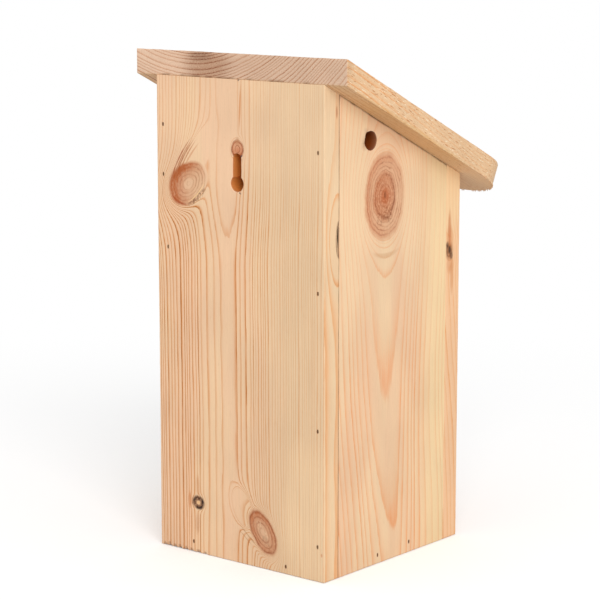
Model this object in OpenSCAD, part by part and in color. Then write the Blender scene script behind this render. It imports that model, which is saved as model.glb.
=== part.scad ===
// Nest box of softwood boards, pinned together with steel brads.
// Origin at the centre of the base, +Z up. The entrance faces -Y and the
// hanging side, the back, faces +Y. Left and right are as seen from the front.

/* [Boards] */
// Thickness of every board
board_t = 17; // [12:0.5:22]
// Width of the front and back boards
body_w = 160; // [130:1:240]
// Width of a side board, between the back board and the front board
side_w = 130; // [100:1:220]
// Height of the back board's outer face
back_h = 360; // [320:1:500]

/* [Roof] */
// Fall of the roof towards the front, in degrees
roof_slope = 25; // [10:1:30]
// How far the roof stands out past each side
side_overhang = 20; // [5:1:50]
// How far the roof's underside stands out past the front
front_overhang = 40; // [20:1:80]
// Radius of the roof's two front corners
roof_corner_r = 40; // [5:1:60]

/* [Entrance] */
// Diameter of the entrance hole
entrance_d = 32; // [25:0.5:50]
// Distance from the front board's top down to the entrance's centre
entrance_drop = 68; // [45:1:100]

/* [Air holes] */
// Diameter of the air hole in each side board
vent_d = 14; // [8:0.5:20]
// Distance of the air holes behind the middle of the box
vent_back = 29; // [-30:1:35]
// Distance from the roof's underside down to an air hole's centre
vent_drop = 18.5; // [16:0.5:60]

/* [Keyhole] */
// Diameter of the keyhole's round end
keyhole_d = 12; // [10:0.5:20]
// Width of the keyhole's slot
keyhole_slot_w = 8; // [4:0.5:9]
// Distance from the round end's centre up to the centre of the slot's end
keyhole_rise = 18; // [12:0.5:30]
// Distance from the back board's top down to the round end's centre
keyhole_drop = 75.5; // [60:0.5:120]
// Distance of the keyhole to the right of the middle
keyhole_right = 1.5; // [-10:0.5:10]

/* [Brads] */
// Length of a brad, head and shank
brad_l = 32; // [28:1:40]
// Length of a brad's head, along the grain
brad_head_l = 2.8; // [2:0.1:4]
// Width of a brad's head, across the grain
brad_head_w = 1.7; // [1.2:0.1:3]
// Thickness of a brad's head
brad_head_t = 1; // [0.5:0.1:1.5]
// Width of a brad's shank along the grain
brad_shank_l = 1.6; // [1:0.1:1.9]
// Width of a brad's shank across the grain
brad_shank_w = 1.4; // [0.8:0.1:1.6]
// How deep the heads are sunk below the face
brad_sink = 0.6; // [0.2:0.1:2]
// Distance of an upright row from the edge of its board
brad_edge = 6; // [4:0.5:10]
// Height of an upright row's lowest brad
brad_foot = 26; // [22:1:60]
// Distance from a board's top to its row's highest brad
brad_head_room = 48; // [30:1:80]
// Height of the brads that hold the floor
brad_floor_z = 7; // [5:0.5:8]
// Unit of how far a hand-placed brad is off its line
brad_drift = 1; // [0:0.1:1.2]

/* [Hidden] */
// Cutters run this far past the faces that they open
past = 1;
// Sides of the round holes and corners
$fn = 96;

half_w = body_w / 2;
half_d = side_w / 2 + board_t;
inner_w = body_w - 2 * board_t;
front_h = roof_z(-half_d);
side_mid_x = half_w - board_t / 2;
wall_mid_y = half_d - board_t / 2;

// Length of the roof board's underside, from the back face to its front end
roof_l = (2 * half_d + front_overhang) / cos(roof_slope);
roof_half_w = half_w + side_overhang;
roof_r = min(roof_corner_r, roof_half_w);

// How far a brad reaches past the board that it is driven through
brad_reach = brad_l + brad_sink - board_t;

// Each brad in an upright row: share of the row's height, and drift units towards the middle
back_left_row = [[0, 0], [0.3, 0], [0.65, 0], [1, 0]];
back_right_row = [[0.72, 4], [0.91, 0], [1.04, 0]];
front_row = [[0, 0], [0.5, 1], [1, 0]];
// Each brad in a floor row: share of the way across the floor, and drift units upwards
back_floor_row = [[-0.35, -1.5], [0.37, 1]];
front_floor_row = [[-0.36, 0.5], [0.35, -0.5]];
side_floor_row = [[-0.16, 1], [0.14, -0.5]];
// Each brad in the roof's back and front rows: share of the way across the box
roof_row = [-0.3, 0.3];

// Turn about Z that points a brad's head out of each wall
BACK = 0;
LEFT = 90;
FRONT = 180;
RIGHT = -90;

// Underside of the roof above a place on the Y axis
function roof_z(y) = back_h - (half_d - y) * tan(roof_slope);

// A brad: name, middle of its place on the face, turn, and the two boards it joins
function wall_brad(name, at, face, outer, inner) = [name, at, [-90, 0, face], outer, inner];

// Height of a place in an upright row on a board of the height h
function row_z(h, share) = brad_foot + share * (h - brad_head_room - brad_foot);

// Upright row through the board at y into a side board, on the side that is -1 or 1
function upright_row(name, row, side, y, h, face, outer, inner) = [
    for (i = [0:len(row) - 1])
        wall_brad(str(name, i + 1),
            [side * (half_w - brad_edge - row[i][1] * brad_drift), y, row_z(h, row[i][0])],
            face, outer, inner)
];

// Row along X through the board at y into the floor
function wide_floor_row(name, row, y, face, outer) = [
    for (i = [0:len(row) - 1])
        wall_brad(str(name, i + 1),
            [row[i][0] * inner_w, y, brad_floor_z + row[i][1] * brad_drift],
            face, outer, "floor_board")
];

// Row along Y through a side board into the floor
function deep_floor_row(name, row, x, face, outer) = [
    for (i = [0:len(row) - 1])
        wall_brad(str(name, i + 1),
            [x, row[i][0] * side_w, brad_floor_z + row[i][1] * brad_drift],
            face, outer, "floor_board")
];

// Brad square to the roof that crosses its underside at x and y
function roof_brad(name, x, y, inner) = [
    name,
    [x, y - board_t * sin(roof_slope), roof_z(y) + board_t * cos(roof_slope)],
    [roof_slope, 0, 0],
    "roof_board",
    inner
];

// Place where a roof brad's reach has its middle in the middle of a wall at y
function roof_cross_y(y) = y - brad_reach / 2 * sin(roof_slope);

BRADS = concat(
    upright_row("brad_back_left_", back_left_row, -1, half_d, back_h,
        BACK, "back_board", "left_side_board"),
    upright_row("brad_back_right_", back_right_row, 1, half_d, back_h,
        BACK, "back_board", "right_side_board"),
    upright_row("brad_front_left_", front_row, -1, -half_d, front_h,
        FRONT, "front_board", "left_side_board"),
    upright_row("brad_front_right_", front_row, 1, -half_d, front_h,
        FRONT, "front_board", "right_side_board"),
    wide_floor_row("brad_back_floor_", back_floor_row, half_d, BACK, "back_board"),
    wide_floor_row("brad_front_floor_", front_floor_row, -half_d, FRONT, "front_board"),
    deep_floor_row("brad_left_floor_", side_floor_row, -half_w, LEFT, "left_side_board"),
    deep_floor_row("brad_right_floor_", side_floor_row, half_w, RIGHT, "right_side_board"),
    [for (i = [0:len(roof_row) - 1])
        roof_brad(str("brad_roof_back_", i + 1), roof_row[i] * body_w,
            roof_cross_y(wall_mid_y), "back_board")],
    [for (i = [0:len(roof_row) - 1])
        roof_brad(str("brad_roof_front_", i + 1), roof_row[i] * body_w,
            roof_cross_y(-wall_mid_y), "front_board")],
    [roof_brad("brad_roof_left_1", -side_mid_x, 0, "left_side_board")],
    [roof_brad("brad_roof_right_1", side_mid_x, 0, "right_side_board")]
);

BOARDS = [
    "back_board", "front_board", "left_side_board", "right_side_board",
    "floor_board", "roof_board"
];

// Bar of a brad, centred on its axis, from the depth low to the depth high
module brad_bar(w, l, low, high) {
    translate([-w / 2, -l / 2, -low]) cube([w, l, low - high]);
}

// Brad with its axis along Z and the face that it is driven into at z = 0
module brad_shape() {
    brad_bar(brad_head_w, brad_head_l, brad_sink + brad_head_t, brad_sink);
    brad_bar(brad_shank_w, brad_shank_l, brad_sink + brad_l, brad_sink);
}

module brad_place(brad) {
    translate(brad[1]) rotate(brad[2]) children();
}

// Seats of all brads that pass through or into a board, open to the face
module brad_seats(board) {
    for (brad = BRADS)
        if (brad[3] == board || brad[4] == board)
            brad_place(brad) {
                brad_shape();
                brad_bar(brad_head_w, brad_head_l, brad_sink + brad_head_t, -past);
            }
}

// Everything above the roof's underside
module above_roof() {
    reach = 2 * back_h;
    translate([0, half_d, back_h])
        rotate([roof_slope, 0, 0])
            translate([-reach / 2, -reach, 0]) cube([reach, 2 * reach, reach]);
}

// Upright board between two corners, its top cut to the roof's fall
module wall_board(low_x, high_x, low_y, high_y) {
    difference() {
        translate([low_x, low_y, 0]) cube([high_x - low_x, high_y - low_y, back_h]);
        above_roof();
    }
}

// Round hole along Y through the wall whose outer face is at y
module hole_through_y(x, y, z, d, towards) {
    translate([x, y + towards * past, z])
        rotate([towards * 90, 0, 0]) cylinder(d = d, h = board_t + 2 * past);
}

// Keyhole: a round end below and a narrower slot above it
module keyhole() {
    x = keyhole_right;
    z = back_h - keyhole_drop;
    w = keyhole_slot_w;
    hole_through_y(x, half_d, z, keyhole_d, 1);
    hole_through_y(x, half_d, z + keyhole_rise, w, 1);
    translate([x - w / 2, half_d - board_t - past, z])
        cube([w, board_t + 2 * past, keyhole_rise]);
}

module back_board() {
    color("burlywood") difference() {
        wall_board(-half_w, half_w, half_d - board_t, half_d);
        keyhole();
        brad_seats("back_board");
    }
}

module front_board() {
    color("burlywood") difference() {
        wall_board(-half_w, half_w, -half_d, board_t - half_d);
        hole_through_y(0, -half_d, front_h - entrance_drop, entrance_d, -1);
        brad_seats("front_board");
    }
}

// Side board on the side that is -1 or 1
module side_board(side, name) {
    low_x = min(side * half_w, side * (half_w - board_t));
    color("wheat") difference() {
        wall_board(low_x, low_x + board_t, -side_w / 2, side_w / 2);
        translate([low_x - past, vent_back, roof_z(vent_back) - vent_drop])
            rotate([0, 90, 0]) cylinder(d = vent_d, h = board_t + 2 * past);
        brad_seats(name);
    }
}

module floor_board() {
    color("tan") difference() {
        translate([-inner_w / 2, -side_w / 2, 0]) cube([inner_w, side_w, board_t]);
        brad_seats("floor_board");
    }
}

// Outline of the roof in its own plane, the back face at y = 0, with spare length past it
module roof_outline() {
    spare = board_t * tan(roof_slope);
    translate([-roof_half_w, roof_r - roof_l])
        square([2 * roof_half_w, roof_l - roof_r + spare]);
    translate([roof_r - roof_half_w, -roof_l])
        square([2 * (roof_half_w - roof_r), roof_l]);
    for (side = [-1, 1])
        translate([side * (roof_half_w - roof_r), roof_r - roof_l]) circle(r = roof_r);
}

module roof_board() {
    color("burlywood") difference() {
        translate([0, half_d, back_h])
            rotate([roof_slope, 0, 0]) linear_extrude(board_t) roof_outline();
        translate([-roof_half_w - past, half_d, back_h - board_t])
            cube([2 * (roof_half_w + past), 2 * board_t, 3 * board_t]);
        brad_seats("roof_board");
    }
}

module brad_solid(brad) {
    color("dimgray") brad_place(brad) brad_shape();
}

back_board();
front_board();
side_board(-1, "left_side_board");  // left_side_board
side_board(1, "right_side_board");  // right_side_board
floor_board();
roof_board();
for (brad = BRADS)
    brad_solid(brad);
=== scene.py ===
"""Nest box of planed softwood boards under a rough-sawn roof board: its wood, its edges and its light."""

import math
from collections import namedtuple

import bmesh
import bpy
import numpy as np
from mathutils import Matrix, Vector
from mathutils.geometry import delaunay_2d_cdt


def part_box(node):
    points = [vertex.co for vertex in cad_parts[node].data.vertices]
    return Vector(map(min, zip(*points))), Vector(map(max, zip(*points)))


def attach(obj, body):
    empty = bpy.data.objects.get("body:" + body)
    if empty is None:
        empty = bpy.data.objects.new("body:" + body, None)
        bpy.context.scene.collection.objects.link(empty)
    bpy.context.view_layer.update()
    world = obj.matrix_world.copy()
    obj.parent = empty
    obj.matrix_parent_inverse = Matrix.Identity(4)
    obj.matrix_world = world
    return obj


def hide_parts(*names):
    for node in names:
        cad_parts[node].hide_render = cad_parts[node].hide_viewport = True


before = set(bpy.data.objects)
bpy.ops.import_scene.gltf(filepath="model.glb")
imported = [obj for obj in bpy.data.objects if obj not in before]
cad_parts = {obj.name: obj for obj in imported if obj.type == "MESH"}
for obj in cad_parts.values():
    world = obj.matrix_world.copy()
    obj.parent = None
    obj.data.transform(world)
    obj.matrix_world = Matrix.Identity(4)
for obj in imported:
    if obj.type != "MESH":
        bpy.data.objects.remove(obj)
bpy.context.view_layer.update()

# Sizes of the boards in mm, as they are cut.
BOARD = 17.0
HALF_WIDTH = 80.0
HALF_DEPTH = 65.0
BACK_HEIGHT = 360.0
PITCH = math.radians(25.0)
SLOPE = math.tan(PITCH)
BACK_FACE = HALF_DEPTH + BOARD
FRONT_HEIGHT = BACK_HEIGHT - SLOPE * 2.0 * BACK_FACE
ROOF_HALF = 100.0
ROOF_LENGTH = 204.0 / math.cos(PITCH)
ROOF_CORNER = 40.0
# Holes as (u, v, radius); the keyhole's slot as (half width, height of its upper end's middle).
ENTRANCE = (0.0, FRONT_HEIGHT - 68.0, 16.0)
AIR_HOLE = (29.0, BACK_HEIGHT - SLOPE * (BACK_FACE - 29.0) - 18.5, 7.0)
KEYHOLE = (1.5, 284.5, 6.0)
KEYHOLE_SLOT = (4.0, 302.5)
CORNER = 0.6            # radius of the boards' upright corners
OUTLINE_STEP = 1.6      # distance between the points of an outline
LEAST_WEAR = 0.12       # no arris is sharper than this

GUARD = 1.1             # points this far inside an outline keep its stain and painted shade at the edge
STRAY, CLEAR = 0.22, 0.55    # loose points, in steps: how far they stray, how near an edge they may be

# A brad's head in mm, and its well as rings (size against the head's, depth in mm, stain).
HEAD_LONG, HEAD_ACROSS = 2.5, 1.5
HEAD_POINTS = 12
WELL = ((1.15, 0.0, 0.35), (1.0, 0.2, 0.9), (0.96, 0.6, 0.9), (0.96, 1.6, 0.9))
HALO = 1.6              # points this many head sizes wide keep the stain of a well near it

# The rings of an edge, from the face to the wall: share of the wear inwards, and up the wall.
EASED = ((1.0, 0.0), (0.3, 0.3), (0.0, 1.0))
WALL = (1.5, BOARD * 0.35, BOARD * 0.65, BOARD - 1.5)
BORED_AND_SHADED = (0.0, 1.0, 1.0, 1.0, 1.0, 1.0, 0.9, 0.65, 0.0, 0.0)    # how dark each of a hole's rings is painted: the drill's browning and painted shade, darkest deep in the hole

SMOOTH = {"interpolation_type": "SMOOTHSTEP"}
WHITE = (1.0, 1.0, 1.0, 1.0)
TABLE_RADIUS, TABLE_DROP = 4.0, -0.0003    # in m; the drop keeps the table clear of the boards' feet
TABLE_CORNERS = 64
ORIGIN = (0.0, 0.0, 0.0)
UPRIGHT = (0.0, 0.0, 0.0)
EDGEWISE = (0.0, 0.0, math.radians(-90.0))
KNOT_REACH = 1.25       # a knot's dye ends at this many times its radius
BOLDEST = 1.5           # the boldest late wood that a Look may ask for
END_BOLD = 0.64         # how bold it is on cut ends

# What a board is drawn from. Lengths are in mm and turns in degrees.
# Look: tones of the early wood (pale, blush, straw), late wood, and drilled wood darkened with painted
# shade inside holes; the late wood's share through one year; its strength across (bold) and along (tall)
# the board; where the wood turns straw coloured; and how rough the saw left it.
Look = namedtuple("Look", "pale blush straw late deep bore year bold tall straw_side sawn")
# Plank: turn and shift lead to the board's own frame; pith and lift lead the heart line along it, as
# (from, to, place at from, place at to); crowd draws rings together, as (from, to, extra rings in mm).
Plank = namedtuple("Plank", "turn pith lift crowd ring look seed shift phase bends knots marks",
                   defaults=(ORIGIN, 0.0, (), (), ()))
# Bend: inside its reach all year rings take one level, so that they run round a knot. A small fall
# leads them far out, and lean turns the reach.
Bend = namedtuple("Bend", "at reach lean level fall")
# Knot: fill is a list below; dusk darkens one side; veins and turns are the strength and number of its
# rings; rim, ring_at and band are the strength, place and width of its dark edge; bark is that edge's
# darker side; heart is the strength of its middle.
Knot = namedtuple("Knot", "at size fill veins turns rim ring_at band heart dye turn dusk bark",
                  defaults=(0.0, ORIGIN, ORIGIN))
# Mark: an oval of colour, arched by bend. It may follow the late wood (grain) or break up (speck).
Mark = namedtuple("Mark", "at size colour strength turn bend grain speck", defaults=(0.0,) * 4)
# Cut: wear and stain along a stretch of one face's arris, or the painted shade of a gap along it.
Cut = namedtuple("Cut", "start end reach size face dark")

CUT_END = "#E2C5B6"      # end grain, greyer and pinker than the faces
EDGE_LINE = "#DE8A3E"    # late wood on the narrow edges
RESIN = "#B4703C"        # the dark dashes of sawn wood
TORN_FIBRE = "#F9E6C8"   # its pale dashes
DARK_STAIN_AND_SHADE = "#6A3C1A"   # torn spots, joints and wells, and painted shade in the gap under the roof

# Knot dyes: LIVE knots are red-brown, PALE_HEART ones have a bleached middle, DEAD ones a black ring
# of bark, and BURNT ones are brown with a torn dark middle.
Dye = namedtuple("Dye", "body vein rim heart")
LIVE = Dye("#BC6433", "#9A4E26", "#6A3618", "#B8541A")
PALE_HEART = Dye("#B66434", "#98502A", "#8A4822", "#EFC8A4")
DEAD = Dye("#8A4816", "#4A2610", "#1A0E08", "#ECB676")
BURNT = Dye("#8A4C1C", "#4A2610", "#5A3010", "#B98238")

# How full of dye a knot is, as (place, share) from its middle at 0 to its edge at 1.
FULL = ((0.0, 0.8), (0.5, 0.65), (0.9, 0.85), (1.0, 0.5), (1.1, 0.0))
RUSTY = ((0.0, 0.5), (0.5, 0.6), (0.9, 0.85), (1.0, 0.5), (1.1, 0.0))
CHARRED = ((0.0, 0.1), (0.3, 0.2), (0.45, 0.85), (0.95, 0.9), (1.02, 0.5), (1.25, 0.0))
SMOULDER = ((0.0, 0.95), (0.55, 0.85), (0.8, 0.55), (1.0, 0.3), (1.25, 0.0))
HOLLOW = ((0.0, 0.15), (0.25, 0.3), (0.4, 0.52), (0.62, 0.56), (0.8, 0.76), (0.96, 0.84),
          (1.04, 0.4), (1.12, 0.0))
NESTED = ((0.0, 0.95), (0.12, 0.75), (0.3, 0.62), (0.5, 0.8), (0.58, 0.66), (0.66, 0.42),
          (0.82, 0.5), (0.96, 0.62), (1.04, 0.35), (1.12, 0.0))


def tint(code):
    """Turns an sRGB hex colour into the linear colour that a shader takes."""
    parts = [int(code[i:i + 2], 16) / 255.0 for i in (1, 3, 5)]
    return (*(p / 12.92 if p < 0.04045 else ((p + 0.055) / 1.055) ** 2.4 for p in parts), 1.0)


def add(tree, kind, *feeds, out=0, stops=None, into=None, **settings):
    """Adds a node with its settings, links or sets its inputs, and gives one output.

    A kind in capitals is the operation of a Math node.
    """
    if kind.isupper():
        kind, settings["operation"] = "Math", kind
    node = tree.nodes.new(("ShaderNode" if tree.type == "SHADER" else "") + kind)
    for name, value in settings.items():
        setattr(node, name, value)
    for key, feed in list(enumerate(feeds)) + list((into or {}).items()):
        if feed is None:
            continue
        if isinstance(feed, bpy.types.NodeSocket):
            tree.links.new(feed, node.inputs[key])
        else:
            node.inputs[key].default_value = feed
    if stops:
        ramp = node.color_ramp.elements
        while len(ramp) < len(stops):
            ramp.new(0.5)
        for element, (place, colour) in zip(ramp, stops):
            element.position = place
            element.color = colour if len(colour) == 4 else (*(colour * 3), 1.0)
    return node.outputs[out] if len(node.outputs) else None


def blobs(tree, place, size, detail, rough, shift=ORIGIN, turn=ORIGIN, out=0):
    """Uneven blobs that are size across on each axis, in the unit of place."""
    place = add(tree, "Mapping", place, shift, turn, tuple(1 / width for width in size))
    return add(tree, "TexNoise", place, None, 1.0, detail, rough, out=out)


def lay(tree, mask, under, over):
    """Lays one colour over another where the mask is 1. A colour is a socket or an sRGB hex code."""
    under, over = (tint(colour) if isinstance(colour, str) else colour for colour in (under, over))
    return add(tree, "Mix", mask, into={6: under, 7: over}, out=2, data_type="RGBA")


def in_oval(tree, place, at, size, turn):
    """Place in an oval that is turned in the board's face. Its middle is at 0, its edge at length 1."""
    return add(tree, "Mapping", place, at, (0.0, math.radians(turn), 0.0), size, vector_type="TEXTURE")


# ---------------------------------------------------------------- wood

def plank_place(tree, plank):
    """Place in the plank in mm: X across, Y deep, Z along the grain, with the wander of real fibres."""
    where = add(tree, "TexCoord", out=3)
    flat = add(tree, "Mapping", where, plank.shift, plank.turn, (1000.0,) * 3)
    sway = blobs(tree, flat, (34, 34, 120), 1.5, 0.5, (plank.seed * 3.1, 0.0, plank.seed), out=1)
    sway = add(tree, "VectorMath", sway, (3.0, 0.8, 0.0), (-1.5, -0.4, 0.0), operation="MULTIPLY_ADD")
    shiver = blobs(tree, flat, (5, 5, 30), 1.0, 0.5, out=1)
    shiver = add(tree, "VectorMath", shiver, (0.7, 0.7, 0.0), (-0.35, -0.35, 0.0),
                 operation="MULTIPLY_ADD")
    moved = add(tree, "VectorMath", flat, sway, operation="ADD")
    return flat, add(tree, "VectorMath", moved, shiver, operation="ADD")


def trunk_rings(tree, plank, place):
    """Distance in mm from the heart line, which leans along the plank and so draws the long arches."""
    along = add(tree, "SeparateXYZ", place, out=2)
    pith = add(tree, "MapRange", along, *plank.pith, **SMOOTH)
    lift = add(tree, "MapRange", along, *plank.lift, **SMOOTH)
    heart = add(tree, "CombineXYZ", pith, lift, along)
    reach = add(tree, "VectorMath", place, heart, operation="DISTANCE", out=1)
    across = add(tree, "SeparateXYZ", place)
    for start, end, extra in plank.crowd:
        close = add(tree, "MapRange", across, start, end, 0.0, extra)
        reach = add(tree, "ADD", reach, close)
    return reach


def round_knots(tree, plank, place, rings):
    """Leads the rings round each knot: near one they all take its own level."""
    for bend in plank.bends:
        around = in_oval(tree, place, bend.at, bend.reach, bend.lean)
        around = add(tree, "VectorMath", around, operation="LENGTH", out=1)
        around = add(tree, "POWER", around, -bend.fall, use_clamp=True)
        rings = add(tree, "Mix", around, into={2: rings, 3: bend.level})
    return rings


def knot_wood(tree, plank, place, speck):
    """The wood of the knots. Gives a mask of them all, and (mask, colour) for every dye they need."""
    ripple = blobs(tree, place, (8, 8, 11), 2.5, 0.6, out=1)
    blotch = add(tree, "SeparateXYZ", ripple, out=1)
    blotch = add(tree, "MapRange", blotch, 0.36, 0.64, 0.25, 1.0)
    ripple = add(tree, "VectorMath", ripple, (0.18, 0.0, 0.18), (-0.09, 0.0, -0.09),
                 operation="MULTIPLY_ADD")
    grainy = add(tree, "MapRange", speck, 0.3, 0.6, 0.7, 1.0)
    sliver = add(tree, "MULTIPLY", speck, 3.0)
    torn = add(tree, "MapRange", speck, 0.36, 0.56, 0.25, 1.0)
    dyes, whole = [], 0.0
    for knot in plank.knots:
        local = in_oval(tree, place, knot.at, knot.size, knot.turn)
        local = add(tree, "VectorMath", local, ripple, operation="ADD")
        size = add(tree, "VectorMath", local, operation="LENGTH", out=1)
        within = add(tree, "MapRange", size, 0.92, 1.06, 1.0, 0.0, **SMOOTH)
        whole = add(tree, "MAXIMUM", whole, within)
        body = knot_body(tree, knot, local, size)
        veins = knot_rings(tree, knot, size, sliver, within)
        heart = add(tree, "MapRange", size, 0.45, 0.05, 0.0, knot.heart, **SMOOTH)
        rim = knot_rim(tree, knot, local, size)
        for mask, broken, colour in ((body, grainy, knot.dye.body), (veins, blotch, knot.dye.vein),
                                     (heart, grainy, knot.dye.heart), (rim, torn, knot.dye.rim)):
            dyes.append((add(tree, "MULTIPLY", mask, broken), colour))
    return whole, dyes


def knot_body(tree, knot, local, size):
    """How deeply the knot's wood is dyed, from its middle outwards, and darker on its dusky side."""
    body = add(tree, "MULTIPLY", size, 1 / KNOT_REACH)
    body = add(tree, "ValToRGB", body, stops=[(at / KNOT_REACH, (much,)) for at, much in knot.fill])
    side = add(tree, "VectorMath", local, knot.dusk, operation="DOT_PRODUCT", out=1)
    side = add(tree, "ADD", side, 1.0)
    return add(tree, "MULTIPLY", body, side, use_clamp=True)


def knot_rings(tree, knot, size, sliver, within):
    """The knot's own year rings."""
    vein = add(tree, "MULTIPLY_ADD", size, math.tau * knot.turns, sliver)
    vein = add(tree, "SINE", vein)
    vein = add(tree, "MapRange", vein, 0.2, 1.0, 0.0, knot.veins)
    return add(tree, "MULTIPLY", vein, within)


def knot_rim(tree, knot, local, size):
    """The dark ring at the knot's edge, stronger on its bark side."""
    edge = add(tree, "SUBTRACT", size, knot.ring_at)
    edge = add(tree, "ABSOLUTE", edge)
    edge = add(tree, "MapRange", edge, 0.0, knot.band, 1.0, 0.0, **SMOOTH)
    side = add(tree, "VectorMath", local, knot.bark, operation="DOT_PRODUCT", out=1)
    side = add(tree, "ADD", side, knot.rim, use_clamp=True)
    return add(tree, "MULTIPLY", edge, side)


def with_marks(tree, plank, flat, wood, fibre, late, speck):
    """Lays the marks of use and of the saw over the wood: ink ticks, cracks, smudges and stains."""
    rough = add(tree, "MapRange", fibre, 0.35, 0.65, 0.55, 1.0)
    torn = add(tree, "MapRange", speck, 0.46, 0.56)
    for mark in plank.marks:
        local = in_oval(tree, flat, mark.at, mark.size, mark.turn)
        if mark.bend:
            side, height = (add(tree, "SeparateXYZ", local, out=k) for k in (0, 2))
            arch = add(tree, "MULTIPLY", side, side)
            height = add(tree, "MULTIPLY_ADD", arch, mark.bend, height)
            local = add(tree, "CombineXYZ", side, 0.0, height)
        size = add(tree, "VectorMath", local, operation="LENGTH", out=1)
        there = add(tree, "MapRange", size, 1.25, 0.45, 0.0, mark.strength, **SMOOTH)
        there = add(tree, "MULTIPLY", there, rough)
        if mark.grain:
            lines = add(tree, "MULTIPLY_ADD", late, mark.grain, 1.0 - mark.grain)
            there = add(tree, "MULTIPLY", there, lines)
        if mark.speck:
            lines = add(tree, "MULTIPLY_ADD", torn, mark.speck, 1.0 - mark.speck)
            there = add(tree, "MULTIPLY", there, lines)
        wood = lay(tree, there, wood, mark.colour)
    return wood


def new_tree(name):
    """A new material with an empty node tree. Gives both."""
    finish = bpy.data.materials.new(name)
    finish.use_nodes = True
    finish.node_tree.nodes.clear()
    return finish, finish.node_tree


def facing_masks(tree, plank):
    """1 on the plank's narrow edges, and 1 on its cut ends."""
    normal = add(tree, "TexCoord", out=1)
    normal = add(tree, "Mapping", normal, None, plank.turn, vector_type="VECTOR")
    masks = []
    for axis in (0, 2):
        mask = add(tree, "SeparateXYZ", normal, out=axis)
        mask = add(tree, "ABSOLUTE", mask)
        masks.append(add(tree, "MapRange", mask, 0.6, 0.9, 0.0, 1.0))
    return masks


def late_wood(tree, plank, rings, fibre, edge):
    """The darker line that ends each year ring, and how strong that year's line is."""
    # Ring widths differ from year to year, about plank.ring mm each.
    for stretch, turn, size in ((0.21, 1.0, 1.1), (0.53, 0.0, 0.5)):
        years = add(tree, "MULTIPLY_ADD", rings, stretch, turn)
        years = add(tree, "SINE", years)
        rings = add(tree, "MULTIPLY_ADD", years, size, rings)
    count = add(tree, "MULTIPLY_ADD", rings, 1.0 / plank.ring, plank.phase - 0.1)
    count = add(tree, "MULTIPLY_ADD", fibre, 0.2, count)
    year = add(tree, "FLOOR", count)
    season = add(tree, "FRACT", count)
    late = add(tree, "ValToRGB", season, stops=plank.look.year)
    soft = add(tree, "ValToRGB", season, stops=SOFT)
    late = add(tree, "Mix", edge, into={2: late, 3: soft})
    dice = add(tree, "ADD", year, plank.seed)
    strength = add(tree, "TexWhiteNoise", None, dice, noise_dimensions="1D")
    return late, add(tree, "MapRange", strength, 0.0, 1.0, 0.6, 1.15)


def bold_places(tree, look, flat, end_grain):
    """How bold the late wood is: it differs across the board, along it and on its cut ends."""
    across = add(tree, "SeparateXYZ", flat)
    width = add(tree, "MapRange", across, -100.0, 100.0, 0.0, 1.0)
    bold = add(tree, "ValToRGB", width, stops=[(0.5 + u / 200.0, (v / BOLDEST,)) for u, v in look.bold])
    along = add(tree, "SeparateXYZ", flat, out=2)
    rise = add(tree, "MapRange", along, *look.tall, **SMOOTH)
    bold = add(tree, "MULTIPLY", bold, rise)
    cut_end = add(tree, "MULTIPLY", end_grain, END_BOLD)
    return add(tree, "MAXIMUM", bold, cut_end)


def wood_tone(tree, plank, flat, late, edge, end_grain):
    """Early wood in two soft tones and a straw side, greyer on cut ends, with the late wood laid on."""
    look = plank.look
    patch = blobs(tree, flat, (30, 30, 150), 2.0, 0.55, (plank.seed * 7.7, 0.0, 0.0))
    warm = add(tree, "MapRange", patch, 0.38, 0.62, 0.0, 1.0, **SMOOTH)
    wood = lay(tree, warm, look.pale, look.blush)
    across = add(tree, "SeparateXYZ", flat)
    strawy = add(tree, "MapRange", across, *look.straw_side, 0.0, 0.85)
    wood = lay(tree, strawy, wood, look.straw)
    cut_end = add(tree, "MULTIPLY", end_grain, 0.5)
    wood = lay(tree, cut_end, wood, CUT_END)
    line = lay(tree, edge, look.late, EDGE_LINE)
    wood = lay(tree, late, wood, line)
    deep = add(tree, "MapRange", late, 0.72, 1.0, 0.0, 0.75)
    line = add(tree, "MapRange", edge, 0.0, 1.0, 1.0, 0.4)
    deep = add(tree, "MULTIPLY", deep, line)
    return lay(tree, deep, wood, look.deep)


def with_dashes(tree, look, wood, dash, end_grain):
    """Resin ducts, dark, and torn fibres, pale: short dashes along the grain, most on sawn wood."""
    sawn = add(tree, "SUBTRACT", 1.0, end_grain)
    sawn = add(tree, "MULTIPLY", sawn, look.sawn)
    for low, high, colour in ((0.64, 0.72, RESIN), (0.35, 0.27, TORN_FIBRE)):
        there = add(tree, "MapRange", dash, low, high)
        there = add(tree, "MULTIPLY", there, sawn)
        wood = lay(tree, there, wood, colour)
    return wood


def with_shade(tree, plank, flat, wood, fibre):
    """Faint light and dark, fibre by fibre, and a painted sheen in broad soft waves."""
    shade = add(tree, "MapRange", fibre, 0.25, 0.75, 0.955, 1.04)
    # Painted sheen: broad soft patches a little lighter and darker.
    sheen = blobs(tree, flat, (38, 38, 55), 1.0, 0.5, (0.0, 0.0, plank.seed), (0.0, 0.5, 0.0))
    sheen = add(tree, "MapRange", sheen, 0.3, 0.7, 0.965, 1.035, **SMOOTH)
    shade = add(tree, "MULTIPLY", shade, sheen)
    return add(tree, "VectorMath", wood, None, None, shade, operation="SCALE")


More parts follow.
